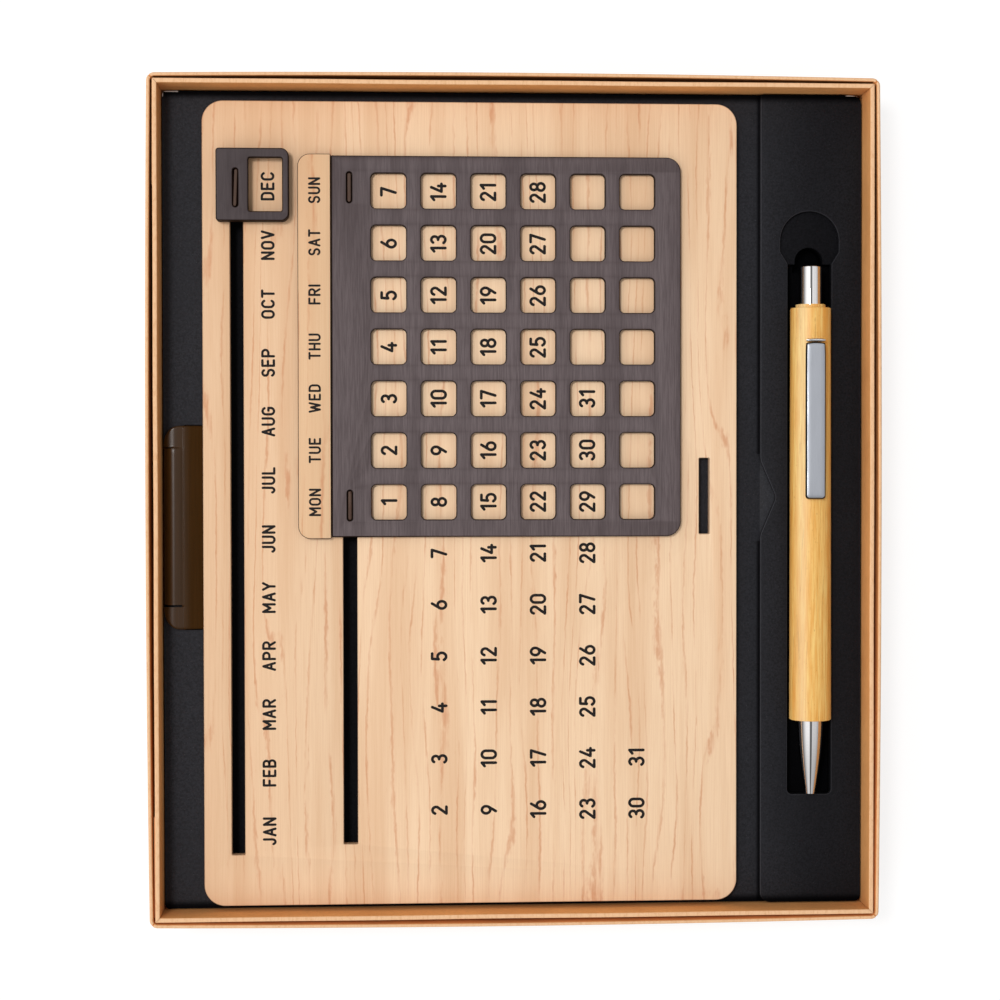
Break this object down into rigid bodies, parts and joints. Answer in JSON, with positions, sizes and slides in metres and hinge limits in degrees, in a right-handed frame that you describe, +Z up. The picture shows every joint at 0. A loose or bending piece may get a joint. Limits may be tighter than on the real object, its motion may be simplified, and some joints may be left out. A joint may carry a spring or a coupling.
{
  "type": "slide calendar set in tray",
  "caption": "Shallow double-walled tray with a wooden perpetual slide calendar and a bamboo click pen bedded in a pierced black insert.",
  "frame": {"origin": "centre of the tray's underside", "axes": "+Z up out of the open tray, +Y along its long side towards the pen's push button, +X across it towards the pen"},
  "size_m": [0.1912, 0.2212, 0.026],
  "materials": {
    "kraft_board": "matte kraft paperboard with a fine fibre grain",
    "black_foam": "matte black foam sheet",
    "brown_grip": "satin dark brown moulded grip",
    "maple": "pale maple board, fine grain, clear matte",
    "wenge": "dark grey-brown wood with fine streaks",
    "bamboo": "lacquered bamboo",
    "chrome": "polished chrome plate",
    "satin_steel": "satin grey steel",
    "brass": "plain brass",
    "plastic": "plain moulded plastic",
    "spring_steel": "bright spring wire"
  },
  "bodies": {
    "tray": {"outer_carton": "kraft_board", "liner_front": "kraft_board", "liner_right": "kraft_board", "liner_back": "kraft_board", "liner_left": "kraft_board", "corner_flaps": "kraft_board"},
    "insert": {"support_sheet_lower": "black_foam", "support_sheet_upper": "black_foam", "bed_layer": "black_foam", "pen_panel": "black_foam", "pull_grip": "brown_grip", "stand_foot": "maple"},
    "calendar": {"calendar_board": "maple"},
    "month_cursor": {"month_cursor_face": "wenge", "month_cursor_spacer": "wenge", "month_cursor_tenon": "maple", "month_cursor_keeper": "wenge"},
    "date_frame": {"date_grille": "wenge", "weekday_strip": "maple", "date_tenon_upper": "maple", "date_tenon_lower": "maple", "date_keeper": "wenge"},
    "pen": {"pen_barrel": "bamboo", "pen_nose": "chrome", "thread_insert": "brass", "cam_sleeve": "plastic", "clip_root": "satin_steel", "refill_spring": "spring_steel"},
    "clip": {"pen_clip": "satin_steel"},
    "button": {"push_button": "chrome"},
    "refill": {"cam_rotor": "plastic", "refill_tube": "plastic", "refill_tip": "brass"}
  },
  "joints": [
    {"name": "insert_lift", "type": "slide", "parent": "tray", "child": "insert", "axis": [0, 0, 1], "range_m": [0, 0.04]},
    {"name": "calendar_lift", "type": "slide", "parent": "insert", "child": "calendar", "axis": [0, 0, 1], "range_m": [0, 0.04]},
    {"name": "month_slide", "type": "slide", "parent": "calendar", "child": "month_cursor", "axis": [0, -1, 0], "range_m": [0, 0.1683]},
    {"name": "date_slide", "type": "slide", "parent": "calendar", "child": "date_frame", "axis": [0, -1, 0], "range_m": [0, 0.0845]},
    {"name": "pen_lift", "type": "slide", "parent": "insert", "child": "pen", "axis": [0, 0, 1], "range_m": [0, 0.04]},
    {"name": "clip_flex", "type": "hinge", "parent": "pen", "child": "clip", "pos_m": [0.0782, 0.0413, 0.02585], "axis": [-1, 0, 0], "range_deg": [0, 4], "stiffness_Nm_per_rad": 1.5, "springref_deg": -1.15},
    {"name": "button_press", "type": "slide", "parent": "pen", "child": "button", "axis": [0, -1, 0], "range_m": [0, 0.0045], "stiffness_N_per_m": 300, "springref_m": -0.002},
    {"name": "refill_advance", "type": "slide", "parent": "pen", "child": "refill", "axis": [0, -1, 0], "range_m": [0, 0.0045], "deforming": ["refill_spring"]}
  ],
  "couplings": [
    {"joint": "refill_advance", "follows": "button_press", "ratio": 1}
  ]
}
